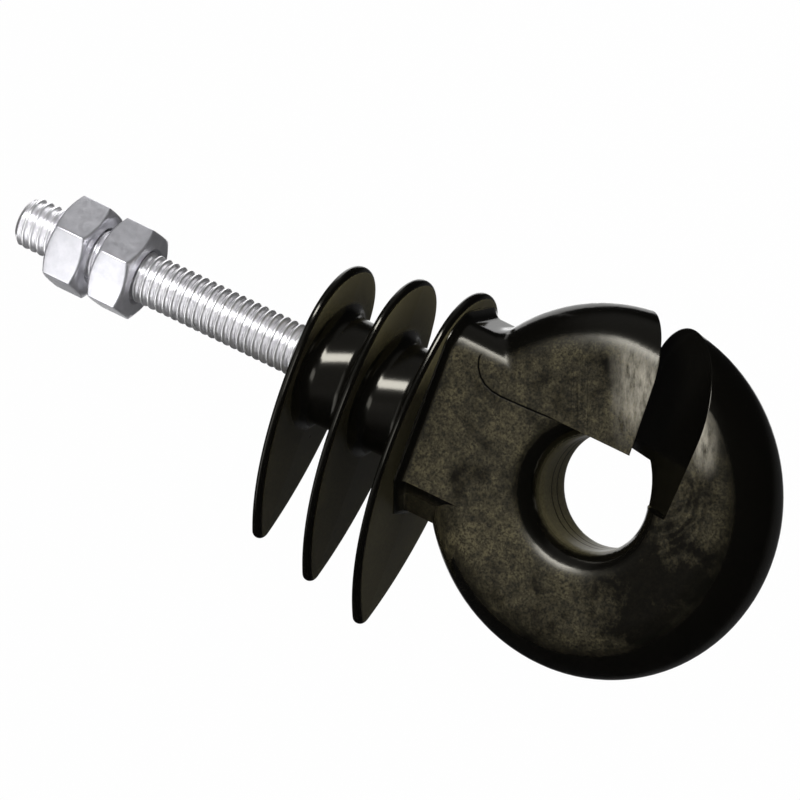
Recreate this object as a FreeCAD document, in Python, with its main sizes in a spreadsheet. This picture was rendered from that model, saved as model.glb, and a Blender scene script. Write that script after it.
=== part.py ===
import FreeCAD, Part

import math
import os

import Sketcher

# Ring insulator for an electric fence: one moulded body (three drip sheds on a round neck,
# a flat-sided block and a wide ring with a slanting slot for the conductor), moulded over a
# threaded stud, with two loose hexagon nuts on the stud.
# Millimetres. The stud lies along X and the ring is on the +X side. Z is up, with the slot of
# the ring on top. The two halves of the mould meet in the plane Y = 0.
# The origin is on the stud's axis, in the flat seat where the stud leaves the body.

DIMENSIONS = {
    # Stud and nuts, metric size 6
    "stud_radius": 3.0,
    "stud_free_length": 39.2,
    "stud_embedded_length": 22.0,
    "stud_end_chamfer": 0.7,
    "stud_clearance": 0.02,
    "nut_across_flats": 10.0,
    "nut_thickness": 4.7,
    "nut_crown_radius": 4.75,
    "nut_bevel_angle": 30.0,
    "nut_countersink": 0.4,
    "nut_clearance": 0.03,
    "inner_nut_distance": 23.1,
    "nut_gap": 1.35,
    "inner_nut_turn": 10.3,
    "outer_nut_turn": 7.0,
    # Drip sheds, largest next to the ring
    "seat_height": 0.1,
    "shed_pitch": 7.53,
    "shed_thickness": 1.5,
    "shed_draft": 1.6,
    "shed_top_height": 12.0,
    "shed_top_growth": 1.7,
    "shed_tip_depth": 21.8,
    "shed_tip_growth": 1.95,
    "shed_top_radius": 8.35,
    "shed_flank_radius": 31.7,
    "shed_tip_radius": 1.5,
    "shed_rim_bevel": 0.36,
    # Neck between the sheds
    "neck_radius": 6.6,
    "neck_bevel": 0.8,
    # Block between the last shed and the ring
    "block_flat_bottom": 6.7,
    "block_bottom": 10.5,
    "block_bottom_half_width": 3.0,
    "block_top": 12.8,
    "block_top_round": 3.2,
    "block_end": 26.0,
    "block_fillet": 1.5,
    "saddle_fillet": 2.5,
    # Ring and its eye
    "ring_centre_distance": 38.5,
    "ring_centre_height": 0.9,
    "ring_radius": 21.4,
    "ring_half_thickness": 6.0,
    "eye_radius": 6.6,
    "eye_round": 3.7,
    # Flat roof of the eye, falling from the front face to the back face
    "roof_front_height": 6.5,
    "roof_back_height": 4.5,
    "roof_half_length": 9.6,
    "roof_depth": 5.0,
    # Slanting slot, measured from the ring's centre at the front face
    "slot_floor_height": 1.5,
    "slot_left": 3.6,
    "slot_left_lean": 0.82,
    "slot_left_draft": 0.03,
    "slot_right": 9.95,
    "slot_right_lean": 1.1,
    "slot_right_draft": 0.062,
}

SHED_COUNT = 3
PLANE_MARGIN = 2.0


def make_sheet(doc):
    """Spreadsheet with one named cell for each driving dimension."""
    sheet = doc.addObject("Spreadsheet::Sheet", "Dims")
    for row, (name, value) in enumerate(DIMENSIONS.items(), start=1):
        sheet.set("A%d" % row, name)
        sheet.set("B%d" % row, str(value))
        sheet.setAlias("B%d" % row, name)
    doc.recompute()
    return sheet


def number(owner, text):
    """Value of an expression that names cells of the sheet."""
    result = owner.evalExpression(text)
    return float(getattr(result, "Value", result))


def new_body(doc, name):
    body = doc.addObject("PartDesign::Body", name)
    body.Label = name
    return body


def new_sketch(body, name, role, offset=("0", "0", "0")):
    """Sketch on one of the body's own origin planes, moved by three expressions."""
    sketch = body.newObject("Sketcher::SketchObject", name)
    plane = [item for item in body.Origin.OriginFeatures if item.Role == role][0]
    sketch.AttachmentSupport = [(plane, "")]
    sketch.MapMode = "FlatFace"
    for axis, text in zip("xyz", offset):
        if text != "0":
            sketch.setExpression("AttachmentOffset.Base." + axis, text)
    return sketch


def bind(sketch, kind, geometry, point, text):
    """Distance of a point from the sketch's origin, along X or Y, bound to an expression."""
    value = number(sketch, text)
    index = sketch.addConstraint(Sketcher.Constraint(kind, -1, 1, geometry, point, value))
    sketch.setExpression("Constraints[%d]" % index, text)


def add_outline(sketch, corners):
    """Closed outline. A corner is (x, y), or (x, y, centre x, centre y, direction) where an arc
    leads to the next corner. Direction is 1 for anticlockwise and -1 for clockwise."""
    places = [(number(sketch, c[0]), number(sketch, c[1])) for c in corners]
    ends = []
    for i, corner in enumerate(corners):
        here = places[i]
        there = places[(i + 1) % len(corners)]
        if len(corner) == 2:
            line = Part.LineSegment(FreeCAD.Vector(*here, 0), FreeCAD.Vector(*there, 0))
            ends.append((sketch.addGeometry(line), 1, 2))
            continue
        middle = (number(sketch, corner[2]), number(sketch, corner[3]))
        start, stop = (here, there) if corner[4] > 0 else (there, here)
        first = math.atan2(start[1] - middle[1], start[0] - middle[0])
        last = math.atan2(stop[1] - middle[1], stop[0] - middle[0])
        radius = math.dist(here, middle)
        circle = Part.Circle(FreeCAD.Vector(*middle, 0), FreeCAD.Vector(0, 0, 1), radius)
        arc = sketch.addGeometry(Part.ArcOfCircle(circle, first, last))
        ends.append((arc, 1, 2) if corner[4] > 0 else (arc, 2, 1))
    for i, (edge, unused_start, finish) in enumerate(ends):
        after, begin, unused_finish = ends[(i + 1) % len(ends)]
        sketch.addConstraint(Sketcher.Constraint("Coincident", edge, finish, after, begin))
    for (edge, begin, unused_finish), corner in zip(ends, corners):
        bind(sketch, "DistanceX", edge, begin, corner[0])
        bind(sketch, "DistanceY", edge, begin, corner[1])
        if len(corner) > 2:
            bind(sketch, "DistanceX", edge, 3, corner[2])


def add_circle(sketch, radius):
    circle = Part.Circle(FreeCAD.Vector(), FreeCAD.Vector(0, 0, 1), number(sketch, radius))
    index = sketch.addGeometry(circle)
    sketch.addConstraint(Sketcher.Constraint("Coincident", index, 3, -1, 1))
    size = sketch.addConstraint(Sketcher.Constraint("Radius", index, circle.Radius))
    sketch.setExpression("Constraints[%d]" % size, radius)


def add_feature(body, kind, name, profile):
    feature = body.newObject("PartDesign::" + kind, name)
    feature.Profile = profile
    return feature


def add_pad(body, name, profile, length, both_ways=False):
    pad = add_feature(body, "Pad", name, profile)
    pad.setExpression("Length", length)
    pad.Midplane = both_ways
    return pad


def turn_about(feature, sketch, axis):
    feature.ReferenceAxis = (sketch, [axis])
    feature.Angle = 360.0
    return feature


def cut_by(doc, body, feature):
    """A cutting feature must take something away."""
    doc.recompute()
    if feature.Shape.Volume > feature.BaseFeature.Shape.Volume - 0.01:
        raise RuntimeError(feature.Name + " cuts nothing")


def dress_edges(doc, body, kind, name, size, wanted):
    """Fillet or chamfer on those edges of the last shape for which wanted(sheet, edge) holds."""
    doc.recompute()
    base = body.Tip
    found = [wanted(doc.Dims, edge) for edge in base.Shape.Edges]
    names = ["Edge%d" % i for i, chosen in enumerate(found, start=1) if chosen]
    if not names:
        raise RuntimeError(name + " finds no edges")
    dressing = body.newObject("PartDesign::" + kind, name)
    dressing.Base = (base, names)
    dressing.setExpression("Radius" if kind == "Fillet" else "Size", size)
    doc.recompute()


def add_shed(doc, body, index):
    """Flat egg-shaped drip shed: round top, long curved flanks and a narrow drip nose."""
    start = "Dims.seat_height + %d * Dims.shed_pitch" % index
    top_centre = "Dims.shed_top_height + %d * Dims.shed_top_growth - Dims.shed_top_radius" % index
    tip_centre = "Dims.shed_tip_radius - Dims.shed_tip_depth - %d * Dims.shed_tip_growth" % index
    sketch = new_sketch(body, "ShedSketch%d" % (index + 1), "YZ_Plane", ("0", "0", start))
    top = number(sketch, top_centre)
    tip = number(sketch, tip_centre)
    top_radius = number(sketch, "Dims.shed_top_radius")
    tip_radius = number(sketch, "Dims.shed_tip_radius")
    flank_radius = number(sketch, "Dims.shed_flank_radius")
    # The flank's circle holds the top circle and the tip circle inside it and touches both.
    to_top = flank_radius - top_radius
    to_tip = flank_radius - tip_radius
    flank_height = (to_tip ** 2 - to_top ** 2 + top ** 2 - tip ** 2) / (2 * (top - tip))
    flank_offset = math.sqrt(to_top ** 2 - (flank_height - top) ** 2)
    upper = math.atan2(top - flank_height, flank_offset)
    lower = math.atan2(tip - flank_height, flank_offset)
    arcs = [
        (0.0, top, top_radius, upper, math.pi - upper),
        (flank_offset, flank_height, flank_radius, math.pi - upper, math.pi - lower),
        (0.0, tip, tip_radius, math.pi - lower, 2 * math.pi + lower),
        (-flank_offset, flank_height, flank_radius, lower, upper),
    ]
    for across, height, radius, first, last in arcs:
        circle = Part.Circle(FreeCAD.Vector(across, height, 0), FreeCAD.Vector(0, 0, 1), radius)
        sketch.addGeometry(Part.ArcOfCircle(circle, first, last))
    for i in range(len(arcs)):
        sketch.addConstraint(Sketcher.Constraint("Tangent", i, 2, (i + 1) % len(arcs), 1))
    radii = ("Dims.shed_top_radius", "Dims.shed_flank_radius", "Dims.shed_tip_radius")
    for i, text in enumerate(radii + ("Dims.shed_flank_radius",)):
        size = sketch.addConstraint(Sketcher.Constraint("Radius", i, arcs[i][2]))
        sketch.setExpression("Constraints[%d]" % size, text)
    for i, text in ((0, top_centre), (2, tip_centre)):
        sketch.addConstraint(Sketcher.Constraint("PointOnObject", i, 3, -2))
        bind(sketch, "DistanceY", i, 3, text)
    return add_pad(body, "Shed%d" % (index + 1), sketch, "Dims.shed_thickness")


def taper_sheds(doc, body):
    """Draft of the mould: both faces of a shed fall away from the parting plane."""
    fall = "Dims.ring_radius * tan(Dims.shed_draft * 1 deg)"
    sketch = new_sketch(body, "TaperSketch", "XY_Plane")
    for index in range(SHED_COUNT):
        back = "Dims.seat_height + %d * Dims.shed_pitch" % index
        for face, sign in ((back, "+"), (back + " + Dims.shed_thickness", "-")):
            inner = "%s %s %s" % (face, sign, fall)
            for edge in ("Dims.ring_radius", "-Dims.ring_radius"):
                add_outline(sketch, [(face, "0"), (face, edge), (inner, edge)])
    pocket = add_feature(body, "Pocket", "Taper", sketch)
    pocket.Type = "ThroughAll"
    pocket.Midplane = True
    cut_by(doc, body, pocket)


def keep_one_half(doc, body):
    """Cut at the parting plane. One half is dressed and then mirrored, like the mould's halves."""
    sketch = new_sketch(body, "HalfSketch", "XY_Plane")
    reach = "2 * Dims.ring_radius"
    add_outline(sketch, [
        ("-" + reach, "0"),
        ("-" + reach, "-" + reach),
        (reach, "-" + reach),
        (reach, "0"),
    ])
    pocket = add_feature(body, "Pocket", "Half", sketch)
    pocket.Type = "ThroughAll"
    pocket.Midplane = True
    cut_by(doc, body, pocket)


def mirror_half(body):
    half = body.Tip
    mirrored = body.newObject("PartDesign::Mirrored", "BothHalves")
    mirrored.TransformMode = "Whole shape"
    mirrored.BaseFeature = half
    plane = [item for item in body.Origin.OriginFeatures if item.Role == "XZ_Plane"][0]
    mirrored.MirrorPlane = (plane, [""])
    body.Tip = mirrored


def add_neck(doc, body):
    """Round neck that carries the sheds. Its end is the flat seat round the stud."""
    sketch = new_sketch(body, "NeckSketch", "YZ_Plane")
    add_circle(sketch, "Dims.neck_radius")
    last = SHED_COUNT - 1
    add_pad(body, "Neck", sketch, "Dims.seat_height + %d * Dims.shed_pitch + Dims.shed_thickness / 2" % last)


def add_block(doc, body):
    """Flat-sided block with a chamfered keel and a rounded top."""
    start = "Dims.seat_height + %d * Dims.shed_pitch + Dims.shed_thickness / 2" % (SHED_COUNT - 1)
    sketch = new_sketch(body, "BlockSketch", "YZ_Plane", ("0", "0", start))
    side = "Dims.ring_half_thickness"
    keel = "Dims.block_bottom_half_width"
    shoulder = "Dims.block_top - Dims.block_top_round"
    flat = "%s - Dims.block_top_round" % side
    add_outline(sketch, [
        ("-" + keel, "-Dims.block_bottom"),
        (keel, "-Dims.block_bottom"),
        (side, "-Dims.block_flat_bottom"),
        (side, shoulder, flat, shoulder, 1),
        (flat, "Dims.block_top"),
        ("-(%s)" % flat, "Dims.block_top", "-(%s)" % flat, shoulder, 1),
        ("-" + side, shoulder),
        ("-" + side, "-Dims.block_flat_bottom"),
    ])
    add_pad(body, "Block", sketch, "Dims.block_end - (%s)" % start)


def add_half_ring(doc, body):
    """Half of a disc with a fully rounded rim, turned about its axis along Y. The profile lies
    on the side of the block, so the seam of the rim is inside the block."""
    centre = ("Dims.ring_centre_distance", "0", "Dims.ring_centre_height")
    sketch = new_sketch(body, "RingSketch", "XY_Plane", centre)
    side = "Dims.ring_half_thickness"
    rim = "Dims.ring_half_thickness - Dims.ring_radius"
    add_outline(sketch, [
        ("0", side),
        (rim, side, rim, "0", 1),
        ("-Dims.ring_radius", "0"),
        ("0", "0"),
    ])
    turn_about(add_feature(body, "Revolution", "Ring", sketch), sketch, "V_Axis")


def cut_eye(doc, body):
    """Eye of the ring, with both mouths rounded."""
    centre = ("0", "Dims.ring_centre_height", "Dims.ring_centre_distance")
    sketch = new_sketch(body, "EyeSketch", "YZ_Plane", centre)
    side = "Dims.ring_half_thickness"
    bore_end = "(%s - Dims.eye_round)" % side
    mouth = "Dims.eye_radius + Dims.eye_round"
    add_outline(sketch, [
        ("-" + side, "0"),
        (side, "0"),
        (side, mouth, bore_end, mouth, -1),
        (bore_end, "Dims.eye_radius"),
        ("-" + bore_end, "Dims.eye_radius", "-" + bore_end, mouth, -1),
        ("-" + side, mouth),
    ])
    cut_by(doc, body, turn_about(add_feature(body, "Groove", "Eye", sketch), sketch, "H_Axis"))


def add_roof(doc, body):
    """Flat roof of the eye, on both arms, flush with the faces of the ring."""
    sketch = new_sketch(body, "RoofSketch", "YZ_Plane", ("0", "0", "Dims.ring_centre_distance"))
    front = "Dims.ring_centre_height + Dims.roof_front_height"
    back = "Dims.ring_centre_height + Dims.roof_back_height"
    side = "Dims.ring_half_thickness"
    add_outline(sketch, [
        ("-" + side, front),
        (side, back),
        (side, front + " + Dims.roof_depth"),
        ("-" + side, front + " + Dims.roof_depth"),
    ])
    add_pad(body, "Roof", sketch, "2 * Dims.roof_half_length", both_ways=True)


def slot_outline(body, name, height):
    """Plan of the slot at a height above the ring's centre: it slants from the front right to
    the back left, and its walls part upwards."""
    centre = "Dims.ring_centre_height + " + height
    sketch = new_sketch(body, name, "XY_Plane", ("Dims.ring_centre_distance", "0", centre))
    reach = "(Dims.ring_half_thickness + %g)" % PLANE_MARGIN
    left = "Dims.slot_left - Dims.slot_left_draft * (%s)" % height
    right = "Dims.slot_right + Dims.slot_right_draft * (%s)" % height
    far = "(2 * Dims.ring_half_thickness + %g)" % PLANE_MARGIN
    near = "%g" % PLANE_MARGIN
    add_outline(sketch, [
        ("%s + Dims.slot_left_lean * %s" % (left, near), "-" + reach),
        ("%s + Dims.slot_right_lean * %s" % (right, near), "-" + reach),
        ("%s - Dims.slot_right_lean * %s" % (right, far), reach),
        ("%s - Dims.slot_left_lean * %s" % (left, far), reach),
    ])
    return sketch


def cut_slot(doc, body):
    floor = slot_outline(body, "SlotFloorSketch", "Dims.slot_floor_height")
    top = slot_outline(body, "SlotTopSketch", "Dims.ring_radius + %g" % PLANE_MARGIN)
    loft = add_feature(body, "SubtractiveLoft", "Slot", floor)
    loft.Sections = [top]
    loft.Ruled = True
    cut_by(doc, body, loft)


def cut_stud_bore(doc, body):
    """Blind bore that the stud fills."""
    sketch = new_sketch(body, "BoreSketch", "YZ_Plane")
    add_circle(sketch, "Dims.stud_radius + Dims.stud_clearance")
    pocket = add_feature(body, "Pocket", "StudBore", sketch)
    pocket.setExpression("Length", "Dims.stud_embedded_length")
    pocket.Reversed = True
    cut_by(doc, body, pocket)


def shed_faces(sheet):
    """Both faces of each shed, as distances along the stud at the parting plane."""
    backs = [sheet.seat_height + index * sheet.shed_pitch for index in range(SHED_COUNT)]
    return backs + [back + sheet.shed_thickness for back in backs]


def near_shed_face(sheet, edge):
    middle = (edge.BoundBox.XMin + edge.BoundBox.XMax) / 2
    return min(abs(face - middle) for face in shed_faces(sheet)) < sheet.shed_thickness / 4


def on_rim(sheet, edge):
    """Curved edge round a shed, wider than the neck. The rest of the rim is tangent to it."""
    wide = edge.BoundBox.YMax > 1.1 * sheet.neck_radius
    return wide and edge.Curve.TypeId != "Part::GeomLine" and near_shed_face(sheet, edge)


def on_neck(sheet, edge):
    """Edge where the neck meets the face of a shed."""
    flush = abs(edge.BoundBox.YMax - sheet.neck_radius) < 0.01
    return flush and near_shed_face(sheet, edge) and edge.BoundBox.XMax > sheet.shed_thickness / 2


def on_block(sheet, edge):
    """Edge where the block meets the last shed."""
    face = sheet.seat_height + (SHED_COUNT - 1) * sheet.shed_pitch + sheet.shed_thickness
    box = edge.BoundBox
    beside = face - sheet.shed_thickness / 2 < box.XMin and box.XMax < face + 0.05
    within = 0.05 < box.YMax < sheet.ring_half_thickness + 0.05
    below = box.ZMax < sheet.block_top + 0.05 and box.ZMin > -sheet.block_bottom - 0.05
    return beside and within and below


def on_saddle(sheet, edge):
    """Edge where the rim of the ring rises out of the top of the block."""
    box = edge.BoundBox
    middle = edge.discretize(3)[1]
    along = middle.x - sheet.ring_centre_distance
    up = middle.z - sheet.ring_centre_height
    rim_depth = sheet.ring_radius - math.hypot(along, up)
    on_rim_round = -0.05 < rim_depth < sheet.ring_half_thickness - 0.05
    above = box.ZMin > sheet.block_top - sheet.block_top_round - 0.05
    return on_rim_round and above and box.XMax < sheet.block_end and edge.Curve.TypeId != "Part::GeomLine"


def make_insulator_body(doc):
    body = new_body(doc, "insulator_body")
    body.AllowCompound = True
    for index in range(SHED_COUNT):
        add_shed(doc, body, index)
    taper_sheds(doc, body)
    add_neck(doc, body)
    add_block(doc, body)
    keep_one_half(doc, body)
    dress_edges(doc, body, "Chamfer", "RimBevel", "Dims.shed_rim_bevel", on_rim)
    dress_edges(doc, body, "Chamfer", "NeckBevel", "Dims.neck_bevel", on_neck)
    dress_edges(doc, body, "Fillet", "BlockFillet", "Dims.block_fillet", on_block)
    add_half_ring(doc, body)
    dress_edges(doc, body, "Fillet", "SaddleFillet", "Dims.saddle_fillet", on_saddle)
    cut_eye(doc, body)
    mirror_half(body)
    add_roof(doc, body)
    cut_slot(doc, body)
    cut_stud_bore(doc, body)
    return body


def make_stud(doc):
    """Headless stud: its long end is free and its short end is held in the body."""
    body = new_body(doc, "threaded_stud")
    sketch = new_sketch(body, "StudSketch", "XY_Plane")
    free = "-Dims.stud_free_length"
    held = "Dims.stud_embedded_length"
    chamfer = "Dims.stud_end_chamfer"
    add_outline(sketch, [
        (free, "0"),
        (held, "0"),
        (held, "Dims.stud_radius - " + chamfer),
        ("%s - %s" % (held, chamfer), "Dims.stud_radius"),
        ("%s + %s" % (free, chamfer), "Dims.stud_radius"),
        (free, "Dims.stud_radius - " + chamfer),
    ])
    turn_about(add_feature(body, "Revolution", "Stud", sketch), sketch, "H_Axis")
    return body


def make_nut(doc, name, distance, turn):
    """Hexagon nut, bevelled and countersunk on both faces. Before it turns, a corner points up."""
    body = new_body(doc, name)
    hexagon = new_sketch(body, name + "_hexagon", "YZ_Plane")
    corner = "Dims.nut_across_flats / 2 / cos(30 deg)"
    angles = ["%d deg" % (90 + 60 * i) for i in range(6)]
    add_outline(hexagon, [("%s * cos(%s)" % (corner, a), "%s * sin(%s)" % (corner, a)) for a in angles])
    add_pad(body, name + "_blank", hexagon, "Dims.nut_thickness")
    bevel = new_sketch(body, name + "_bevel", "XY_Plane")
    rise = "Dims.nut_across_flats * tan(Dims.nut_bevel_angle * 1 deg)"
    outside = "Dims.nut_crown_radius + Dims.nut_across_flats"
    crown = "Dims.nut_crown_radius"
    bore = "Dims.stud_radius + Dims.nut_clearance"
    sink = "Dims.nut_countersink"
    thick = "Dims.nut_thickness"
    for face, sign in (("0", "+"), (thick, "-")):
        add_outline(bevel, [(face, crown), (face, outside), ("%s %s %s" % (face, sign, rise), outside)])
        add_outline(bevel, [
            (face, "%s - %s" % (bore, sink)),
            (face, "%s + %s" % (bore, sink)),
            ("%s %s 2 * %s" % (face, sign, sink), "%s - %s" % (bore, sink)),
        ])
    groove = turn_about(add_feature(body, "Groove", name + "_bevels", bevel), bevel, "H_Axis")
    cut_by(doc, body, groove)
    hole = new_sketch(body, name + "_hole", "YZ_Plane")
    add_circle(hole, bore)
    pocket = add_feature(body, "Pocket", name + "_bore", hole)
    pocket.setExpression("Length", "Dims.nut_thickness")
    pocket.Reversed = True
    cut_by(doc, body, pocket)
    body.setExpression("Placement.Base.x", "-(%s) - Dims.nut_thickness" % distance)
    body.Placement.Rotation = FreeCAD.Rotation(FreeCAD.Vector(1, 0, 0), 0)
    body.setExpression("Placement.Rotation.Angle", "%s * 1 deg" % turn)
    return body


def check(doc, parts):
    for item in doc.Objects:
        if "Invalid" in item.State or "Error" in item.State:
            raise RuntimeError(item.Name + " did not build")
    for part in parts:
        shape = part.Shape
        if shape.isNull() or not shape.isValid() or len(shape.Solids) != 1:
            raise RuntimeError(part.Label + " is not one valid solid")


def main():
    doc = FreeCAD.newDocument("RingInsulator")
    make_sheet(doc)
    parts = [
        make_insulator_body(doc),
        make_stud(doc),
        make_nut(doc, "inner_nut", "Dims.inner_nut_distance", "Dims.inner_nut_turn"),
        make_nut(doc, "outer_nut", "Dims.inner_nut_distance + Dims.nut_thickness + Dims.nut_gap",
                 "Dims.outer_nut_turn"),
    ]
    doc.recompute()
    check(doc, parts)
    os.makedirs("parts", exist_ok=True)
    for part in parts:
        part.Shape.exportStep("parts/%s.step" % part.Label)


main()
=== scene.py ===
import math

import bmesh
import bpy
from mathutils import Matrix, Vector


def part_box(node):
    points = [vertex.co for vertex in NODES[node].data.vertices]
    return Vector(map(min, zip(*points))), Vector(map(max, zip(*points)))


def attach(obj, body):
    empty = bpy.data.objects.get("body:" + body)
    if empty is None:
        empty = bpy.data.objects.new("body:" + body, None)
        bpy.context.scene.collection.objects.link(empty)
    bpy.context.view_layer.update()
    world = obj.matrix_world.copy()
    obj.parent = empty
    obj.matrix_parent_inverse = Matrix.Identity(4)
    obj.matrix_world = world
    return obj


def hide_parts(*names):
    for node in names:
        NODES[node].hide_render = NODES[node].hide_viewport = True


# Looks of an electric fence ring insulator: a glossy black moulding with three drip sheds and a
# slotted ring, a zinc-plated threaded stud and two hexagon nuts.
# Lengths below are millimetres unless a name says otherwise. X runs along the stud towards the
# ring, Z is up and the camera looks from the front (-Y) side.

MM = 0.001

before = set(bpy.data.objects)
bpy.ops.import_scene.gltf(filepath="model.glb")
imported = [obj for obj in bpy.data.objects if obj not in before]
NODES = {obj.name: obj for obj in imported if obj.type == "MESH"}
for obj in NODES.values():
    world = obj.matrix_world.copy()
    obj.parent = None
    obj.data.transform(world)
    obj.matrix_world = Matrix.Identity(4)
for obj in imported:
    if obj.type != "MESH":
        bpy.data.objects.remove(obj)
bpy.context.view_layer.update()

# ---------------------------------------------------------------- sizes
# Those of the moulding, the stud and the nuts are the solids' own. A fillet, a rounding and the
# thread are finer here than in the solids.
SEAT_HEIGHT = 0.1
SHED_COUNT = 3
SHED_PITCH = 7.53
SHED_THICKNESS = 1.5
SHED_DRAFT = math.tan(math.radians(1.6))
SHED_TOP = 12.0
SHED_TOP_GROWTH = 1.7
SHED_TIP = 21.8
SHED_TIP_GROWTH = 1.95
SHED_TOP_RADIUS = 8.35
SHED_FLANK_RADIUS = 31.7
SHED_TIP_RADIUS = 1.5
NECK_RADIUS = 6.6
NECK_FILLET = 1.8
# Steps of a shed's outline (top, flank, tip) and over its fillet, face and rim.
OUTLINE_STEPS = (44, 56, 16)
FILLET_STEPS = 7
FACE_STEPS = 4
RIM_STEPS = 16
# The plug inside the last shed, hidden in the block.
CORE_RADIUS = 5.0
CORE_STEP = 0.3
CORE_LENGTH = 2.0
# Block and ring: cut of the solid's mesh beyond the last shed and how far it reaches into it.
RING_CUT = 0.03
RING_SUNK = 0.7
MERGE = 0.03

STUD_RADIUS = 3.0
STUD_END = -39.2
STUD_HELD = 22.0
STUD_CHAMFER = 0.7
BORE_PLAY = 0.02
THREAD_PITCH = 1.0
THREAD_DEPTH = 0.5
# Share of half a pitch where the crest ends and where the root begins, and their crowns.
THREAD_CREST, THREAD_CREST_DROP = 0.28, 0.06
THREAD_ROOT, THREAD_ROOT_RISE = 0.84, 0.07
THREAD_STOP = 2.0
THREAD_AROUND, THREAD_ALONG = 72, 12
# The plain end in the moulding.
SHANK_RADIUS = 2.3
SHANK_OVERLAP = 0.5
SHANK_AROUND = 48

NUT_APOTHEM = 5.0
NUT_THICKNESS = 4.7
NUT_CROWN = 4.75
NUT_BORE = 3.03
NUT_SINK = 0.4
NUT_ROUNDING = 0.16
NUT_BEVEL = math.tan(math.radians(30))
# Angles of a nut's section on one side of a corner, in degrees.
NUT_STEPS = (0.5, 1.1, 1.8, 2.6, 3.6, 5, 7, 10, 14, 18, 22, 26)
# How far the nuts are turned on the stud, in degrees.
INNER_NUT_TURN = 10.3
OUTER_NUT_TURN = 7.0

# An edge is hard where its faces meet at more than this many degrees.
SHARP_MOULDING, SHARP_STUD, SHARP_NUT = 28, 50, 40
# Points closer than this are one, in metres.
SAME = 1e-7


# ---------------------------------------------------------------- mesh helpers
def new_piece(name, bm):
    mesh = bpy.data.meshes.new(name)
    bmesh.ops.recalc_face_normals(bm, faces=bm.faces[:])
    bm.to_mesh(mesh)
    bm.free()
    mesh.polygons.foreach_set("use_smooth", [True] * len(mesh.polygons))
    piece = bpy.data.objects.new(name, mesh)
    bpy.context.scene.collection.objects.link(piece)
    return piece


def add_grid(bm, rows, close=True):
    """Quads between successive rows of points. A row of one point is a pole."""
    made = [[bm.verts.new(Vector(p) * MM) for p in row] for row in rows]
    for low, high in zip(made, made[1:]):
        count = max(len(low), len(high))
        for j in range(count if close else count - 1):
            k = (j + 1) % count
            corners = [
                low[j % len(low)], low[k % len(low)],
                high[k % len(high)], high[j % len(high)],
            ]
            unique = list(dict.fromkeys(corners))
            if len(unique) > 2:
                bm.faces.new(unique)
    return made


def open_edges(bm):
    return [edge for edge in bm.edges if len(edge.link_faces) == 1]


def sharpen(piece, degrees, weighted=False):
    """Hard edges where two faces meet at more than this angle. With weighted, a corner's normal
    leans to the larger faces round it, so that flat faces beside a fillet stay flat."""
    bm = bmesh.new()
    bm.from_mesh(piece.data)
    limit = math.radians(degrees)
    for edge in bm.edges:
        edge.smooth = len(edge.link_faces) != 2 or edge.calc_face_angle(0.0) < limit
    normals = []
    if weighted:
        for face in bm.faces:
            for loop in face.loops:
                group, queue = {face}, [face]
                while queue:
                    for edge in queue.pop().edges:
                        if edge.smooth and loop.vert in edge.verts:
                            for other in edge.link_faces:
                                if other not in group:
                                    group.add(other)
                                    queue.append(other)
                total = Vector()
                for other in group:
                    total += other.normal * other.calc_area()
                normals.append(total.normalized())
    bm.to_mesh(piece.data)
    bm.free()
    if weighted:
        piece.data.normals_split_custom_set(normals)


# ---------------------------------------------------------------- moulding
def shed_outline(index):
    """Points of a shed's outline and their outward normals, in Y and Z."""
    top = SHED_TOP + index * SHED_TOP_GROWTH - SHED_TOP_RADIUS
    tip = SHED_TIP_RADIUS - SHED_TIP - index * SHED_TIP_GROWTH
    to_top = SHED_FLANK_RADIUS - SHED_TOP_RADIUS
    to_tip = SHED_FLANK_RADIUS - SHED_TIP_RADIUS
    height = (to_tip ** 2 - to_top ** 2 + top ** 2 - tip ** 2) / (2 * (top - tip))
    offset = math.sqrt(to_top ** 2 - (height - top) ** 2)
    upper = math.atan2(top - height, offset)
    lower = math.atan2(tip - height, offset)
    # From the top, over the left side (-Y) to the tip; the right side is its mirror image.
    arcs = [
        (0.0, top, SHED_TOP_RADIUS, math.pi / 2, math.pi - upper),
        (offset, height, SHED_FLANK_RADIUS, math.pi - upper, math.pi - lower),
        (0.0, tip, SHED_TIP_RADIUS, math.pi - lower, 1.5 * math.pi),
    ]
    half = []
    for (y, z, radius, first, last), count in zip(arcs, OUTLINE_STEPS):
        for i in range(count):
            a = first + (last - first) * i / count
            n = (math.cos(a), math.sin(a))
            half.append(((y + radius * n[0], z + radius * n[1]), n))
    half.append(((0.0, tip - SHED_TIP_RADIUS), (0.0, -1.0)))
    other = [((-p[0], p[1]), (-n[0], n[1])) for p, n in half[-2:0:-1]]
    return half + other


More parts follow.
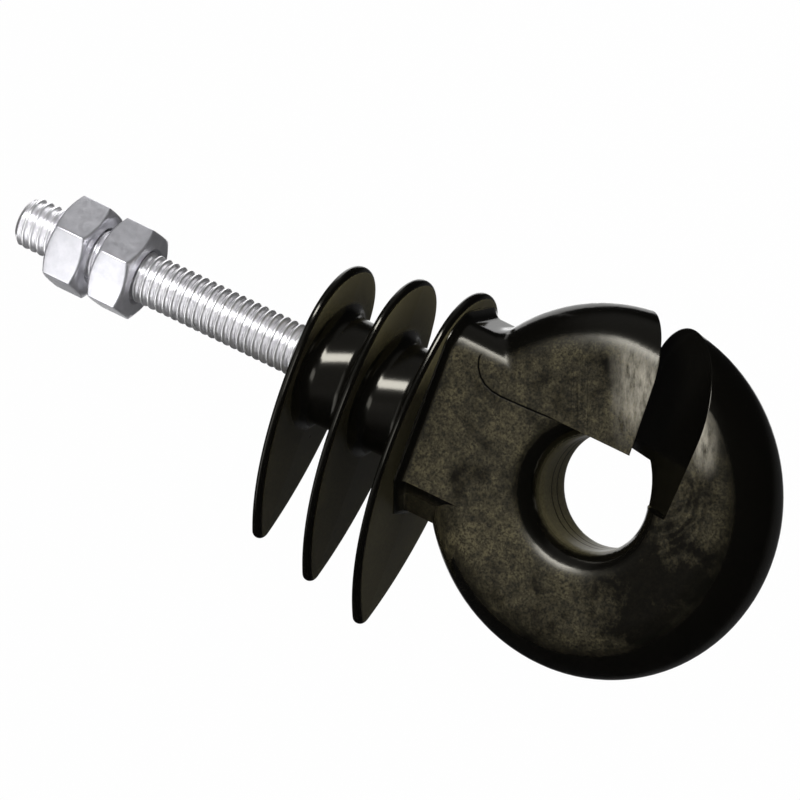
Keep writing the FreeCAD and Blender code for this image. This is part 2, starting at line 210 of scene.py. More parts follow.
def shed_rows(index):
    """Rows of points over one shed's back face, rim and front face, and the rays they lie on."""
    outline = shed_outline(index)
    middle = SEAT_HEIGHT + index * SHED_PITCH + SHED_THICKNESS / 2
    half_thick = [SHED_THICKNESS / 2 - abs(p[0]) * SHED_DRAFT for p, n in outline]
    inner = [(p[0] - n[0] * h, p[1] - n[1] * h) for (p, n), h in zip(outline, half_thick)]
    rays = [(q[0] / math.hypot(*q), q[1] / math.hypot(*q)) for q in inner]

    def face_row(reaches, lift=0.0):
        """Points at distances from the stud's axis, lifted off the face."""
        row = []
        for ray, reach in zip(rays, reaches):
            y, z = ray[0] * reach, ray[1] * reach
            row.append((y, z, SHED_THICKNESS / 2 - abs(y) * SHED_DRAFT + lift))
        return row

    faces = []
    for i in range(FILLET_STEPS + 1):
        a = 0.5 * math.pi * i / FILLET_STEPS
        reach = NECK_RADIUS + NECK_FILLET * (1 - math.cos(a))
        faces.append(face_row([reach] * len(rays), NECK_FILLET * (1 - math.sin(a))))
    start = NECK_RADIUS + NECK_FILLET
    for i in range(1, FACE_STEPS + 1):
        faces.append(face_row([start + (math.hypot(*q) - start) * i / FACE_STEPS for q in inner]))
    back = [[(middle - x, y, z) for y, z, x in row] for row in faces]
    front = [[(middle + x, y, z) for y, z, x in row] for row in faces]
    rim = []
    for i in range(1, RIM_STEPS):
        a = -0.5 * math.pi + math.pi * i / RIM_STEPS
        row = []
        for (p, n), q, h in zip(outline, inner, half_thick):
            out = h * math.cos(a)
            row.append((middle + h * math.sin(a), q[0] + n[0] * out, q[1] + n[1] * out))
        rim.append(row)
    return back, rim, front[::-1], rays


def ring_row(x, radius, rays):
    return [(x, ray[0] * radius, ray[1] * radius) for ray in rays]


def moulding_mesh():
    """The back seat, the sheds and the necks between them, with the stud's bore."""
    bm = bmesh.new()
    rows = []
    for index in range(SHED_COUNT):
        back, rim, front, rays = shed_rows(index)
        if index == 0:
            bore = STUD_RADIUS + BORE_PLAY
            rows += [
                [(STUD_HELD, 0.0, 0.0)],
                ring_row(STUD_HELD, bore, rays),
                ring_row(0.0, bore, rays),
                ring_row(0.0, NECK_RADIUS, rays),
                ring_row(SEAT_HEIGHT, NECK_RADIUS, rays),
            ]
            for row in back[-FACE_STEPS:]:
                rows.append([(SEAT_HEIGHT + abs(y) * SHED_DRAFT, y, z) for x, y, z in row])
        else:
            rows += back
        rows += rim
        if index < SHED_COUNT - 1:
            rows += front
        else:
            rows += front[:FACE_STEPS + 1]
            last = SEAT_HEIGHT + index * SHED_PITCH + SHED_THICKNESS
            rows += [
                ring_row(last - CORE_STEP, CORE_RADIUS, rays),
                ring_row(STUD_HELD + CORE_LENGTH, CORE_RADIUS, rays),
                [(STUD_HELD + CORE_LENGTH, 0.0, 0.0)],
            ]
    add_grid(bm, rows)
    return bm


def ring_part(bm):
    """The block and the ring, from the solid's own mesh: all that lies beyond the last shed. Its
    open side is drawn out straight into the shed and closed there."""
    source = bmesh.new()
    source.from_mesh(NODES["insulator_body"].data)
    bmesh.ops.remove_doubles(source, verts=source.verts[:], dist=MERGE * MM)
    cut_x = SEAT_HEIGHT + (SHED_COUNT - 1) * SHED_PITCH + SHED_THICKNESS + RING_CUT
    bmesh.ops.bisect_plane(
        source, geom=source.verts[:] + source.edges[:] + source.faces[:], dist=SAME,
        plane_co=(cut_x * MM, 0, 0), plane_no=(1, 0, 0), clear_inner=True)
    # What hangs together with the ring's far end stays.
    seed = max(source.verts, key=lambda v: v.co.x)
    kept, queue = {seed}, [seed]
    while queue:
        vert = queue.pop()
        for edge in vert.link_edges:
            other = edge.other_vert(vert)
            if other not in kept:
                kept.add(other)
                queue.append(other)
    bmesh.ops.delete(source, geom=[v for v in source.verts if v not in kept], context="VERTS")
    made = bmesh.ops.extrude_edge_only(source, edges=open_edges(source))
    for item in made["geom"]:
        if isinstance(item, bmesh.types.BMVert):
            item.co.x -= RING_SUNK * MM
    bmesh.ops.holes_fill(source, edges=open_edges(source))
    mesh = bpy.data.meshes.new("ring_part")
    source.to_mesh(mesh)
    source.free()
    bm.from_mesh(mesh)
    bpy.data.meshes.remove(mesh)


def make_moulding():
    bm = moulding_mesh()
    ring_part(bm)
    piece = new_piece("insulator_moulding", bm)
    sharpen(piece, SHARP_MOULDING, weighted=True)
    return piece


# ---------------------------------------------------------------- stud
def thread_radius(u):
    """Radius of the thread at a fraction of its pitch: rounded crest at 0, rounded root at 0.5."""
    u = abs((u + 0.5) % 1.0 - 0.5) * 2.0
    if u < THREAD_CREST:
        share = THREAD_CREST_DROP * (u / THREAD_CREST) ** 2
    elif u > THREAD_ROOT:
        share = 1.0 - THREAD_ROOT_RISE * ((1.0 - u) / (1.0 - THREAD_ROOT)) ** 2
    else:
        flank = 1.0 - THREAD_CREST_DROP - THREAD_ROOT_RISE
        share = THREAD_CREST_DROP + flank * (u - THREAD_CREST) / (THREAD_ROOT - THREAD_CREST)
    return STUD_RADIUS - THREAD_DEPTH * share


def circle(x, radius, count):
    turns = [2 * math.pi * j / count for j in range(count)]
    return [(x, -math.sin(a) * radius, math.cos(a) * radius) for a in turns]


def make_stud():
    """The stud. Its mesh follows the helix, so that each column starts a step further along."""
    bm = bmesh.new()
    turns = int((THREAD_STOP - STUD_END) / THREAD_PITCH) + 2
    verts = []
    for j in range(THREAD_AROUND):
        a = 2 * math.pi * j / THREAD_AROUND
        column = []
        for k in range(-THREAD_ALONG, turns * THREAD_ALONG + 1):
            x = STUD_END + THREAD_PITCH * (k / THREAD_ALONG + j / THREAD_AROUND)
            inside = min(max(x, STUD_END), THREAD_STOP)
            radius = thread_radius((inside - STUD_END) / THREAD_PITCH - j / THREAD_AROUND)
            radius = min(radius, STUD_RADIUS - STUD_CHAMFER + (inside - STUD_END))
            place = Vector((inside, -math.sin(a) * radius, math.cos(a) * radius))
            column.append(bm.verts.new(place * MM))
        verts.append(column)
    # The last column meets the first one, a full turn of the helix further along.
    verts.append(verts[0][THREAD_ALONG:])
    for low, high in zip(verts, verts[1:]):
        for k in range(min(len(low), len(high)) - 1):
            bm.faces.new((low[k], low[k + 1], high[k + 1], high[k]))
    bmesh.ops.remove_doubles(bm, verts=bm.verts[:], dist=SAME)
    for end in (STUD_END, THREAD_STOP):
        rim = [e for e in open_edges(bm) if all(abs(v.co.x / MM - end) < 1e-3 for v in e.verts)]
        bmesh.ops.holes_fill(bm, edges=rim)
    add_grid(bm, [
        [(THREAD_STOP - SHANK_OVERLAP, 0.0, 0.0)],
        circle(THREAD_STOP - SHANK_OVERLAP, SHANK_RADIUS, SHANK_AROUND),
        circle(STUD_HELD, SHANK_RADIUS, SHANK_AROUND),
        [(STUD_HELD, 0.0, 0.0)],
    ])
    piece = new_piece("stud_thread", bm)
    sharpen(piece, SHARP_STUD)
    return piece


# ---------------------------------------------------------------- nuts
def nut_radius(a):
    """Distance from the axis to the hexagon, with slightly rounded corners."""
    sector = math.pi / 3
    off_corner = abs((a + sector / 2) % sector - sector / 2)
    flat = NUT_APOTHEM / math.cos(sector / 2 - off_corner)
    centre = (NUT_APOTHEM - NUT_ROUNDING) / math.cos(sector / 2)
    square = NUT_ROUNDING ** 2 - (centre * math.sin(off_corner)) ** 2
    if square > 0:
        return min(flat, centre * math.cos(off_corner) + math.sqrt(square))
    return flat


def make_nut(name, node, turn):
    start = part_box(node)[0].x / MM
    steps = [-step for step in NUT_STEPS[::-1]] + [0.0] + list(NUT_STEPS) + [30]
    angles = [math.pi / 3 * side + math.radians(step) for side in range(6) for step in steps]
    tip = math.radians(turn)

    def ring(radius_of, depth_of):
        row = []
        for a in angles:
            r = radius_of(a)
            row.append((depth_of(a), -math.sin(a + tip) * r, math.cos(a + tip) * r))
        return row

    def crown(a, share):
        return NUT_CROWN + share * (nut_radius(a) - NUT_CROWN)

    def bevel_depth(a):
        return (nut_radius(a) - NUT_CROWN) * NUT_BEVEL

    # From the bore, over the end face and the bevel to the flats.
    near = [
        ring(lambda a: NUT_BORE - 0.35, lambda a: NUT_SINK * 1.9),
        ring(lambda a: NUT_BORE + NUT_SINK, lambda a: 0.0),
        ring(lambda a: NUT_CROWN - 0.12, lambda a: 0.0),
        ring(lambda a: NUT_CROWN + 0.10, lambda a: 0.05),
        ring(lambda a: crown(a, 0.5), lambda a: 0.5 * bevel_depth(a)),
        ring(lambda a: nut_radius(a) - 0.13, lambda a: bevel_depth(a) - 0.13 * NUT_BEVEL),
        ring(lambda a: nut_radius(a) - 0.03, lambda a: bevel_depth(a) + 0.03),
        ring(nut_radius, lambda a: bevel_depth(a) + 0.16),
        ring(nut_radius, lambda a: 0.25 * NUT_THICKNESS + 0.5 * bevel_depth(a)),
    ]
    middle = [ring(nut_radius, lambda a: 0.5 * NUT_THICKNESS)]
    far = [[(NUT_THICKNESS - x, y, z) for x, y, z in row] for row in near[::-1]]
    rows = [[(start + x, y, z) for x, y, z in row] for row in near + middle + far]
    rows.append(rows[0])
    bm = bmesh.new()
    add_grid(bm, rows)
    bmesh.ops.remove_doubles(bm, verts=bm.verts[:], dist=SAME)
    piece = new_piece(name, bm)
    sharpen(piece, SHARP_NUT)
    return piece


# ---------------------------------------------------------------- materials
# Share of a window's half width that is even.
WINDOW_CORE = 0.15


class Nodes:
    """Short hand for a material's node tree."""

    def __init__(self, name):
        self.material = bpy.data.materials.new(name)
        self.material.use_nodes = True
        self.tree = self.material.node_tree
        self.shader = self.tree.nodes["Principled BSDF"]

    def add(self, kind, inputs=(), **settings):
        node = self.tree.nodes.new(kind)
        for key, value in settings.items():
            setattr(node, key, value)
        for key, value in dict(inputs).items():
            self.put(node.inputs[key], value)
        return node

    def put(self, socket, value):
        if isinstance(value, bpy.types.NodeSocket):
            self.tree.links.new(value, socket)
        else:
            socket.default_value = value

    def place(self):
        return self.add("ShaderNodeTexCoord").outputs["Object"]

    def noise(self, scale, detail=3.0, roughness=0.5, place=None, distortion=0.0):
        node = self.add("ShaderNodeTexNoise", {
            "Vector": place or self.place(), "Scale": scale, "Detail": detail,
            "Roughness": roughness, "Distortion": distortion,
        })
        return node.outputs["Fac"]

    def vector(self, operation, a, b=(0.0, 0.0, 0.0), output="Vector"):
        return self.add("ShaderNodeVectorMath", {0: a, 1: b}, operation=operation).outputs[output]

    def scale(self, vector, factor):
        node = self.add("ShaderNodeVectorMath", {0: vector}, operation="SCALE")
        self.put(node.inputs["Scale"], factor)
        return node.outputs["Vector"]

    def spot(self, place, middle, radius, amount):
        """The amount at a point, falling softly to nothing at a radius from it."""
        node = self.add("ShaderNodeMapRange", {
            "Value": self.vector("DISTANCE", place, middle, "Value"),
            "From Min": 0.0, "From Max": radius, "To Min": amount, "To Max": 0.0,
        }, interpolation_type="SMOOTHSTEP")
        return node.outputs["Result"]

    def window(self, place, axis, middle, half):
        """One near a position along an axis, falling softly to nothing at half a width from it."""
        off = self.math("SUBTRACT", self.vector("DOT_PRODUCT", place, axis, "Value"), middle)
        node = self.add("ShaderNodeMapRange", {
            "Value": self.math("ABSOLUTE", off), "From Min": WINDOW_CORE * half, "From Max": half,
            "To Min": 1.0, "To Max": 0.0,
        }, interpolation_type="SMOOTHSTEP")
        return node.outputs["Result"]

    def stretched(self, place, across, along, factor):
        """Coordinates in which a pattern is drawn out along an axis."""
        flat = self.vector("DOT_PRODUCT", place, along, "Value")
        return self.add("ShaderNodeCombineXYZ", {
            0: self.vector("DOT_PRODUCT", place, across, "Value"),
            1: self.math("MULTIPLY", flat, factor),
        }).outputs[0]

    def noise_along(self, place, axis, scale):
        """Noise that changes along an axis only."""
        node = self.add("ShaderNodeTexNoise", {
            "W": self.vector("DOT_PRODUCT", place, axis, "Value"), "Scale": scale, "Detail": 3.0,
        }, noise_dimensions="1D")
        return node.outputs["Fac"]

    def rings(self, place, middle, scale, distortion):
        """Uneven rings round a line along Y."""
        node = self.add("ShaderNodeTexWave", {
            "Vector": self.vector("SUBTRACT", place, middle), "Scale": scale,
            "Distortion": distortion, "Detail": 3.0, "Detail Scale": 0.6,
        }, wave_type="RINGS", rings_direction="Y")
        return node.outputs["Fac"]

    def distance_on(self, place, middle, axis):
        """Distance from the line through a point along an axis."""
        offset = self.vector("SUBTRACT", place, middle)
        along = self.vector("MULTIPLY", offset, tuple(1.0 - a for a in axis))
        return self.vector("LENGTH", along, output="Value")

    def line(self, place, points, width):
        """One on a line through points in space and nothing beside it."""
        nearest = None
        for a, b in zip(points, points[1:]):
            step = Vector(b) - Vector(a)
            offset = self.vector("SUBTRACT", place, a)
            share = self.add("ShaderNodeMath", {
                0: self.vector("DOT_PRODUCT", offset, step / step.length_squared, "Value"), 1: 1.0,
            }, operation="MULTIPLY", use_clamp=True).outputs[0]
            distance = self.vector("DISTANCE", offset, self.scale(tuple(step), share), "Value")
            nearest = distance if nearest is None else self.math("MINIMUM", nearest, distance)
        return self.ramp(nearest, width, 0.35 * width)

    def ramp(self, value, low, high, to_low=0.0, to_high=1.0):
        """Even rise or fall between two values, and level beyond them."""
        node = self.add("ShaderNodeMapRange", {
            "Value": value, "From Min": low, "From Max": high, "To Min": to_low, "To Max": to_high,
        })
        return node.outputs["Result"]

    def split(self, vector):
        return self.add("ShaderNodeSeparateXYZ", {0: vector}).outputs

    def math(self, operation, a, b=0.0):
        return self.add("ShaderNodeMath", {0: a, 1: b}, operation=operation).outputs[0]

    def mix(self, factor, a, b):
        node = self.add("ShaderNodeMix", data_type="RGBA")
        self.put(node.inputs[0], factor)
        self.put(node.inputs[6], a)
        self.put(node.inputs[7], b)
        return node.outputs[2]

    def bump(self, height, distance, strength, normal=None, invert=False):
        node = self.add("ShaderNodeBump", {
            "Height": height, "Distance": distance, "Strength": strength,
        }, invert=invert)
        if normal is not None:
            self.put(node.inputs["Normal"], normal)
        return node.outputs["Normal"]

    def bevel(self, radius):
        node = self.add("ShaderNodeBevel", {"Radius": radius}, samples=6)
        return node.outputs["Normal"]


# Marks on the moulding. Places are on its front face, at Y -6, where they aren't named otherwise.
INSERT_LINE = (
    (31.9, -6.0, 7.30), (31.0, -6.0, 7.35), (28.0, -6.0, 7.2), (25.0, -6.0, 7.1),
    (23.7, -6.0, 7.2), (22.6, -6.0, 7.55), (21.7, -6.0, 8.2), (21.05, -6.0, 9.1),
    (20.75, -6.0, 10.1), (20.85, -6.0, 11.1), (21.1, -5.8, 12.2),
)
INSERT_LINE_WIDTH = 0.17
PINHOLE, PINHOLE_RADIUS = (1.58, 2.44, -9.1), 0.30
# Soft spots where the matt face is duller or brighter: place, radius and amount. Some are painted
# light and shade: painted shade over the ring's right side and its lower part, and a painted
# highlight at the eye's lower-left edge. The others darken or brighten the face in places.
SPOTS = (
    ((24.6, -6.0, -2.4), 5.0, -0.45),
    ((35.9, -6.0, 15.6), 3.2, -0.80),
    ((52.0, -6.0, -4.0), 14.0, -1.50),
    ((41.0, -6.0, -19.0), 10.0, -0.80),
    ((27.5, -6.0, 14.0), 3.5, -0.35),
    ((22.9, -6.0, 9.4), 2.8, 0.60),
    ((32.5, -6.0, -5.8), 4.6, 0.80),
    ((27.0, -6.0, -9.0), 5.0, 0.35),
    ((45.0, -6.0, 2.0), 4.5, 0.30),
)
# Directions along and across the streaks that the mould left on the arm of the ring.
STREAK_ALONG = (0.372, 0.0, -0.928)
STREAK_ACROSS = (0.928, 0.0, 0.372)
# Streaked places, and scuffed places that are partly painted highlights: position and half width
# across the streaks, and along them.
STREAKS = (35.6, 2.2, 2.4, 5.6)
SCUFF_HIGHLIGHT_PATCHES = ((43.2, 4.6, 0.6, 8.5), (50.6, 2.5, 5.6, 6.0))
# Swirl marks beside the eye: middle of the rings, and the spot that shows them.
SWIRL_MIDDLE = (46.5, -6.0, 5.0)
SWIRL_SPOT = ((49.5, -6.0, 3.0), 7.5, 1.0)
# The eye: its axis, the radii between which the wall's finish begins, and its parting lines (Y).
EYE_AXIS = (38.5, 0.0, 0.9)
EYE_WALL = (7.4, 6.9)
PARTING_LINES = (-0.35, 1.1)

BLACK = (0.0022, 0.0020, 0.0015, 1)
# Olive of the matt faces, also where soft spots paint highlights on them.
MATT_OLIVE = (0.0740, 0.0630, 0.0330, 1)
# Olive of the painted light on the sheds' faces, and the eye's wall's own olive.
SHED_OLIVE = (0.150, 0.132, 0.070, 1)
# Pale of the scuffs, partly a painted highlight on the arm and beside the slot.
SCUFF_HIGHLIGHT_PALE = (0.42, 0.39, 0.32, 1)
LINE_BLACK = (0.001, 0.001, 0.001, 1)
# Roughness and specular level of the polished and of the matt surface.
ROUGH_POLISHED, ROUGH_MATT = 0.13, 0.38
GLOSS_POLISHED, GLOSS_MATT = 0.5, 0.22
# Bevel of the edges and depths of the grain and of the fine lines, in metres.
EDGE_BEVEL = 0.00016
GRAIN_DEPTH, GRAIN_STRENGTH = 0.00003, 0.30
LINE_DEPTH, LINE_STRENGTH = 0.00006, 0.8


def patch(n, place, across, half, along, reach):
    """Soft-edged patch that lies along the mould's streaks."""
    return n.math("MULTIPLY", n.window(place, STREAK_ACROSS, across, half),
                  n.window(place, STREAK_ALONG, along, reach))


def matt_front(n, x, z, facing):
    """Front and back faces of block and ring. They turn matt sooner low on the block."""
    begins = n.ramp(z, -9.0, -7.0, 0.45, 0.86)
    begins = n.math("MAXIMUM", begins, n.ramp(x, 24.0, 26.0, 0.0, 0.86))
    return n.math("MULTIPLY", n.ramp(facing, begins, 0.988), n.ramp(x, 16.4, 17.6))


def marks_and_painted_light(n, place, near):
    """Blotches, soft spots, streaks and swirl marks of the matt faces. Some soft spots are painted
    shade and painted highlights.
    """
    blotches_and_painted_light = n.ramp(n.noise(0.24, 5.0, 0.62, place, 0.3), 0.36, 0.64, 0.10, 1.40)
    for middle, radius, amount in SPOTS:
        blotches_and_painted_light = n.math("ADD", blotches_and_painted_light, n.spot(place, middle, radius, amount))
    streaks = n.ramp(n.noise_along(place, STREAK_ACROSS, 3.2), 0.40, 0.60, -0.25, 0.25)
    streaks = n.math("MULTIPLY", streaks, patch(n, place, *STREAKS))
    swirl = n.ramp(n.rings(place, SWIRL_MIDDLE, 0.30, 12.0), 0.45, 0.95, -0.05, 0.45)
    swirl = n.math("MULTIPLY", swirl, n.spot(place, *SWIRL_SPOT))
    return n.math("ADD", blotches_and_painted_light, n.math("MULTIPLY", n.math("ADD", streaks, swirl), near))


# Pale scuffs on the arm and beside the slot, partly painted highlights.
def scuffs_and_painted_highlights(n, place, where):
    drawn = n.stretched(place, STREAK_ACROSS, STREAK_ALONG, 0.3)
    mottle = n.math("MULTIPLY", n.ramp(n.noise(0.8, 6.0, 0.7, drawn), 0.34, 0.70), where)
    total = 0.0
    for scuff in SCUFF_HIGHLIGHT_PATCHES:
        total = n.math("ADD", n.math("MULTIPLY", patch(n, place, *scuff), mottle), total)
    return total


def fine_lines(n, place, y, in_eye):
    """The edge of the mould's insert, a pinhole and the parting lines in the eye."""
    line = n.math("MAXIMUM", n.line(place, INSERT_LINE, INSERT_LINE_WIDTH),
                  n.spot(place, PINHOLE, PINHOLE_RADIUS, 1.0))
    for at in PARTING_LINES:
        parting = n.ramp(n.math("ABSOLUTE", n.math("SUBTRACT", y, at)), 0.16, 0.05)
        line = n.math("MAXIMUM", line, n.math("MULTIPLY", parting, in_eye))
    return line


def plastic():
    """Black moulding: polished and deep black, with matt faces on the sheds, the block and ring."""
    n = Nodes("black_plastic")
    place = n.scale(n.place(), 1.0 / MM)
    x, y, z = n.split(place)
    normal = n.split(n.add("ShaderNodeNewGeometry").outputs["Normal"])
    facing = n.math("ABSOLUTE", normal[1])

    # Where the surface is matt: front and back, the eye's wall and the faces of the sheds.
    front = matt_front(n, x, z, facing)
    in_eye = n.ramp(n.distance_on(place, EYE_AXIS, (0.0, 1.0, 0.0)), *EYE_WALL)
    in_eye = n.math("MULTIPLY", in_eye, n.ramp(facing, 0.5, 0.2))
    side = n.ramp(n.math("ABSOLUTE", normal[0]), 0.90, 0.985)
    side = n.math("MULTIPLY", side, n.ramp(x, 17.0, 17.5, 1.0, 0.0))
    matt = n.math("MAXIMUM", n.math("MAXIMUM", front, in_eye), n.math("MULTIPLY", side, 0.8))

    # Tone of front and back, with painted shade and painted highlights from some soft spots.
    # Streaks, swirls and scuffs are on the front alone; the scuffs are partly painted highlights.
    near = n.ramp(y, -2.0, -3.0)
    blotches_and_painted_light = marks_and_painted_light(n, place, near)
    grain = n.noise(3.6, 3.0, 0.65, place)
    mottled = n.ramp(n.noise(1.1, 3.0, 0.6, place), 0.36, 0.64, 0.60, 1.40)
    tone = n.math("MULTIPLY", front, n.ramp(blotches_and_painted_light, -0.3, 1.8, 0.02, 0.66))
    tone = n.math("MULTIPLY", tone, mottled)
    tone = n.math("MULTIPLY", tone, n.ramp(grain, 0.36, 0.64, 0.15, 1.85))
    # Tone of the sheds as painted light and shade: paler at their tips and most at their tops,
    # where light falls on them, and darker in between, where shade falls. The eye's wall has an
    # even olive tone.
    painted_light_and_eye_olive = n.math("MAXIMUM", n.ramp(z, -5.0, -12.0, 0.15, 0.28), n.ramp(z, 3.0, 10.0, 0.0, 1.4))
    painted_light_and_eye_olive = n.math("MAXIMUM", n.math("MULTIPLY", side, painted_light_and_eye_olive), n.math("MULTIPLY", in_eye, 0.6))
    painted_light_and_eye_olive = n.math("MULTIPLY", painted_light_and_eye_olive, n.ramp(grain, 0.3, 0.7, 0.6, 1.4))
    line = fine_lines(n, place, y, in_eye)

    colour = n.mix(tone, BLACK, MATT_OLIVE)
    colour = n.mix(painted_light_and_eye_olive, colour, SHED_OLIVE)
    colour = n.mix(scuffs_and_painted_highlights(n, place, n.math("MULTIPLY", front, near)), colour, SCUFF_HIGHLIGHT_PALE)
    colour = n.mix(line, colour, LINE_BLACK)
    n.put(n.shader.inputs["Base Color"], colour)

    # A little rougher where block and ring turn to the front, and on sheds and necks.
    semi = n.math("MULTIPLY", n.ramp(facing, 0.70, 0.92, 0.0, 0.10), n.ramp(x, 16.4, 17.6))
    semi = n.math("ADD", semi, n.ramp(x, 15.8, 16.4, 0.04, 0.0))
    rough = n.math("ADD", n.ramp(matt, 0.0, 1.0, ROUGH_POLISHED, ROUGH_MATT), semi)
    n.put(n.shader.inputs["Roughness"], rough)
    # Dark blotches, the painted shade among them, and fine lines mirror less.
    dull = n.math("MULTIPLY", front, n.ramp(blotches_and_painted_light, -0.2, 0.7, 0.65, 0.0))
    level = n.math("MULTIPLY", n.ramp(matt, 0.0, 1.0, GLOSS_POLISHED, GLOSS_MATT),
                   n.math("SUBTRACT", 1.0, dull))
    level = n.math("MULTIPLY", level, n.ramp(line, 0.0, 1.0, 1.0, 0.1))
    n.put(n.shader.inputs["Specular IOR Level"], level)
    n.shader.inputs["IOR"].default_value = 1.5
    n.shader.inputs["Specular Tint"].default_value = (1.0, 0.96, 0.84, 1)
    strength = n.math("MULTIPLY", front, GRAIN_STRENGTH)
    fine = n.bump(grain, GRAIN_DEPTH, strength, n.bevel(EDGE_BEVEL))
    n.put(n.shader.inputs["Normal"], n.bump(line, LINE_DEPTH, LINE_STRENGTH, fine, invert=True))
    return n.material


def zinc(name, low, high, rough_low, rough_high, metallic):
    """Zinc plating, cloudy between two colours and two degrees of roughness."""
    n = Nodes(name)
    tone = n.ramp(n.noise(700.0, 4.0, 0.6), 0.35, 0.65)
    n.put(n.shader.inputs["Base Color"], n.mix(tone, low, high))
    rough = n.ramp(n.noise(1500.0, 3.0), 0.3, 0.7, rough_low, rough_high)
    n.put(n.shader.inputs["Roughness"], rough)
    n.shader.inputs["Metallic"].default_value = metallic
    n.put(n.shader.inputs["Normal"], n.bump(n.noise(1400.0, 3.0), 0.00004, 0.08))
    return n.material


# ---------------------------------------------------------------- the pieces
moulding = make_moulding()
stud = make_stud()
inner_nut = make_nut("nut_inner", "inner_nut", INNER_NUT_TURN)
outer_nut = make_nut("nut_outer", "outer_nut", OUTER_NUT_TURN)

moulding.data.materials.append(plastic())
stud_metal = zinc("zinc_stud", (0.86, 0.855, 0.88, 1), (0.97, 0.965, 0.98, 1), 0.28, 0.40, 0.85)
stud.data.materials.append(stud_metal)
nut_metal = zinc("zinc_nut", (0.62, 0.62, 0.655, 1), (0.725, 0.72, 0.76, 1), 0.28, 0.40, 0.8)
inner_nut.data.materials.append(nut_metal)
outer_nut.data.materials.append(nut_metal)

for piece, node, slot in (
    (moulding, "insulator_body", "black_plastic"),
    (stud, "threaded_stud", "zinc_stud"),
    (inner_nut, "inner_nut", "zinc_nut"),
    (outer_nut, "outer_nut", "zinc_nut"),
):
    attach(piece, "root")
    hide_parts(node)


# ---------------------------------------------------------------- floor, light and camera
FLOOR_HEIGHT = -110.0
FLOOR_REACH = 4000.0
FLOOR_COLOUR = (0.90, 0.90, 0.90, 1)
# Share of plain white in the floor as it is seen. The rest is the lit floor with its shadow.
FLOOR_WHITE = 0.985
WHITE = (1, 1, 1, 1)
DIM_GLOW = 0.015
# Pale areas of the studio: direction, half angles of the even core and of the soft edge in
# degrees, and brightness.
GLOWS = (
    ((-0.35, -0.90, -0.24), 16, 42, 0.12),
    ((0.35, 0.90, -0.24), 18, 44, 0.06),
    ((-0.38, -0.08, 0.92), 12, 40, 0.15),
)
# The white backdrop behind the object, likewise.
BACKDROP = ((-0.35, 0.90, -0.24), 10, 24, 1.0)
# Soft boxes: name, place, target, width, height, radiance (1 is white), spread in degrees and
# whether gloss mirrors them.
LAMPS = (
    ("key", (-150, -540, 385), (10, 0, 0), 400, 200, 17.0, 180, True),
    ("face_panel", (9, -74, -16), (9, 0, -16), 30, 26, 2.0, 180, True),
    ("stud_front", (-46, -50, -15), (-46, 0, 0), 44, 60, 0.42, 110, True),
    ("stud_under", (-46, -28, -46), (-46, 0, 0), 44, 52, 0.85, 110, True),
    ("stud_top", (-46, 34, 40), (-46, 0, 0), 44, 60, 0.90, 110, True),
    ("fill_right", (520, -60, 170), (0, 0, 0), 500, 500, 1.2, 180, False),
    ("back_left", (-420, 640, 60), (10, 0, 0), 600, 600, 0.9, 180, True),
    ("fill_back", (60, 700, 260), (10, 0, 0), 500, 500, 1.6, 180, False),
)
# The camera stands straight back from its target. Its right and up directions come from a fit of
# the solids to the photo, without perspective.
CAMERA_DISTANCE = 4000.0
CAMERA_WIDTH = 90.53
CAMERA_TARGET = (11.23, 0.0, 0.02)
CAMERA_RIGHT = (0.8426, 0.4190, 0.3384)
CAMERA_UP = (-0.4073, 0.0847, 0.9093)
SENSOR_WIDTH = 36.0


def arithmetic(tree, operation, a, b):
    node = tree.nodes.new("ShaderNodeMath")
    node.operation = operation
    for socket, value in zip(node.inputs, (a, b)):
        if isinstance(value, bpy.types.NodeSocket):
            tree.links.new(value, socket)
        else:
            socket.default_value = value
    return node.outputs[0]


def soft_area(tree, direction, middle, core, edge, strength):
    """Brightness of a pale area of the studio, even in its core and soft towards its edge."""
    dot = tree.nodes.new("ShaderNodeVectorMath")
    dot.operation = "DOT_PRODUCT"
    tree.links.new(direction, dot.inputs[0])
    dot.inputs[1].default_value = Vector(middle).normalized()
    node = tree.nodes.new("ShaderNodeMapRange")
    node.interpolation_type = "SMOOTHSTEP"
    tree.links.new(dot.outputs["Value"], node.inputs["Value"])
    node.inputs["From Min"].default_value = math.cos(math.radians(edge))
    node.inputs["From Max"].default_value = math.cos(math.radians(core))
    node.inputs["To Max"].default_value = strength
    return node.outputs["Result"]


def studio_glow(tree, direction):
    """Brightness of the studio in a direction of space: dim, with three soft pale areas.

    Gloss sees the white backdrop too, where it stands behind the object.
    """
    total = DIM_GLOW
    for area in GLOWS:
        total = arithmetic(tree, "ADD", soft_area(tree, direction, *area), total)
    glossy = tree.nodes.new("ShaderNodeLightPath").outputs["Is Glossy Ray"]
    backdrop = arithmetic(tree, "MULTIPLY", soft_area(tree, direction, *BACKDROP), glossy)
    return arithmetic(tree, "MAXIMUM", backdrop, total)


def seen_directly(tree):
    """One for rays from the camera, also through glass."""
    path = tree.nodes.new("ShaderNodeLightPath").outputs
    return arithmetic(tree, "MAXIMUM", path["Is Camera Ray"], path["Is Transmission Ray"])


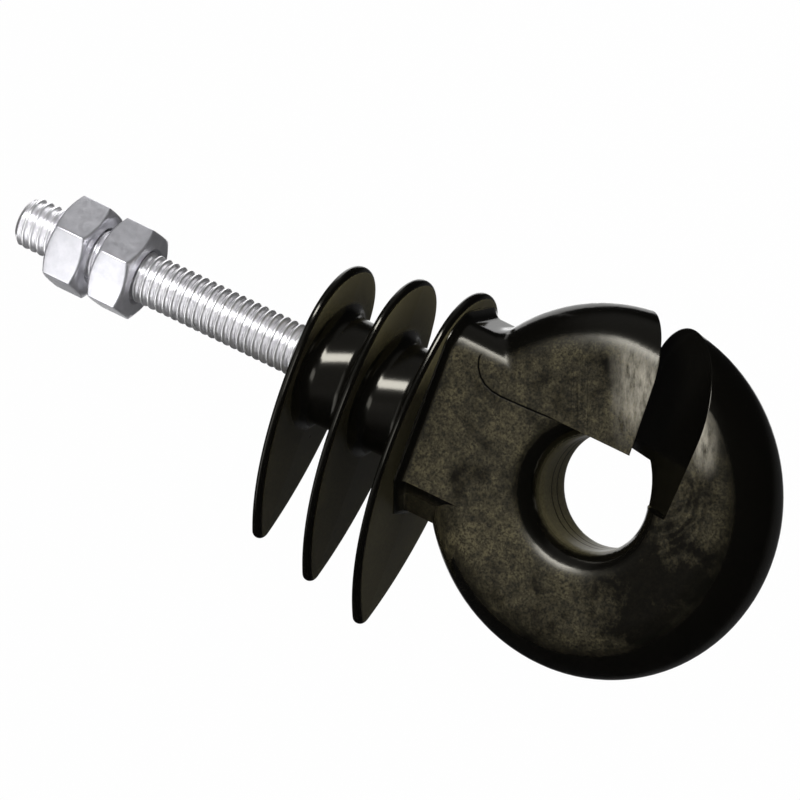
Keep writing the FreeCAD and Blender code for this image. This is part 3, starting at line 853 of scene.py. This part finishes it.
def make_floor():
    """Plain pale floor, white where it is seen. Gloss sees it as bright as the studio is there."""
    bm = bmesh.new()
    add_grid(bm, [
        [(-FLOOR_REACH, -FLOOR_REACH, FLOOR_HEIGHT), (FLOOR_REACH, -FLOOR_REACH, FLOOR_HEIGHT)],
        [(-FLOOR_REACH, FLOOR_REACH, FLOOR_HEIGHT), (FLOOR_REACH, FLOOR_REACH, FLOOR_HEIGHT)],
    ], close=False)
    floor = new_piece("floor", bm)
    n = Nodes("floor")
    n.shader.inputs["Base Color"].default_value = FLOOR_COLOUR
    n.shader.inputs["Roughness"].default_value = 1.0
    n.shader.inputs["Specular IOR Level"].default_value = 0.0
    glossy = n.add("ShaderNodeLightPath").outputs["Is Glossy Ray"]
    direction = n.vector("NORMALIZE", n.place())
    glow = n.add("ShaderNodeEmission", {"Color": WHITE, "Strength": studio_glow(n.tree, direction)})
    white = n.add("ShaderNodeEmission", {"Color": WHITE, "Strength": 1.0})
    gloss = n.add("ShaderNodeMixShader", {0: glossy, 1: n.shader.outputs[0], 2: glow.outputs[0]})
    seen = arithmetic(n.tree, "MULTIPLY", seen_directly(n.tree), FLOOR_WHITE)
    shown = n.add("ShaderNodeMixShader", {0: seen, 1: gloss.outputs[0], 2: white.outputs[0]})
    n.put(n.tree.nodes["Material Output"].inputs["Surface"], shown.outputs[0])
    floor.data.materials.append(n.material)


def make_lamp(name, place, target, width, height, radiance, spread, mirrored):
    data = bpy.data.lights.new(name, "AREA")
    data.shape = "RECTANGLE"
    data.size, data.size_y = width * MM, height * MM
    data.spread = math.radians(spread)
    data.energy = radiance * math.pi * width * height * MM * MM
    lamp = bpy.data.objects.new(name, data)
    bpy.context.scene.collection.objects.link(lamp)
    lamp.location = Vector(place) * MM
    lamp.rotation_mode = "QUATERNION"
    toward = Vector(target) * MM - lamp.location
    lamp.rotation_quaternion = toward.to_track_quat("-Z", "Y")
    lamp.visible_camera = False
    lamp.visible_glossy = mirrored


def make_world():
    """White where it is seen directly, and otherwise the glow of the studio."""
    world = bpy.data.worlds.new("studio")
    bpy.context.scene.world = world
    world.use_nodes = True
    tree = world.node_tree
    background = tree.nodes["Background"]
    direction = tree.nodes.new("ShaderNodeTexCoord").outputs["Generated"]
    strength = arithmetic(tree, "MAXIMUM", seen_directly(tree), studio_glow(tree, direction))
    background.inputs["Color"].default_value = WHITE
    tree.links.new(strength, background.inputs["Strength"])


def make_camera():
    right = Vector(CAMERA_RIGHT).normalized()
    back = right.cross(Vector(CAMERA_UP)).normalized()
    up = back.cross(right).normalized()
    data = bpy.data.cameras.new("camera")
    data.sensor_width = SENSOR_WIDTH
    data.lens = data.sensor_width * CAMERA_DISTANCE / CAMERA_WIDTH
    camera = bpy.data.objects.new("camera", data)
    bpy.context.scene.collection.objects.link(camera)
    place = (Vector(CAMERA_TARGET) + back * CAMERA_DISTANCE) * MM
    turn = Matrix((right, up, back)).transposed().to_4x4()
    camera.matrix_world = Matrix.Translation(place) @ turn
    data.clip_start, data.clip_end = 0.05, 50.0
    bpy.context.scene.camera = camera


make_floor()
make_world()
for lamp in LAMPS:
    make_lamp(*lamp)
make_camera()

bpy.context.scene.view_settings.view_transform = "Standard"
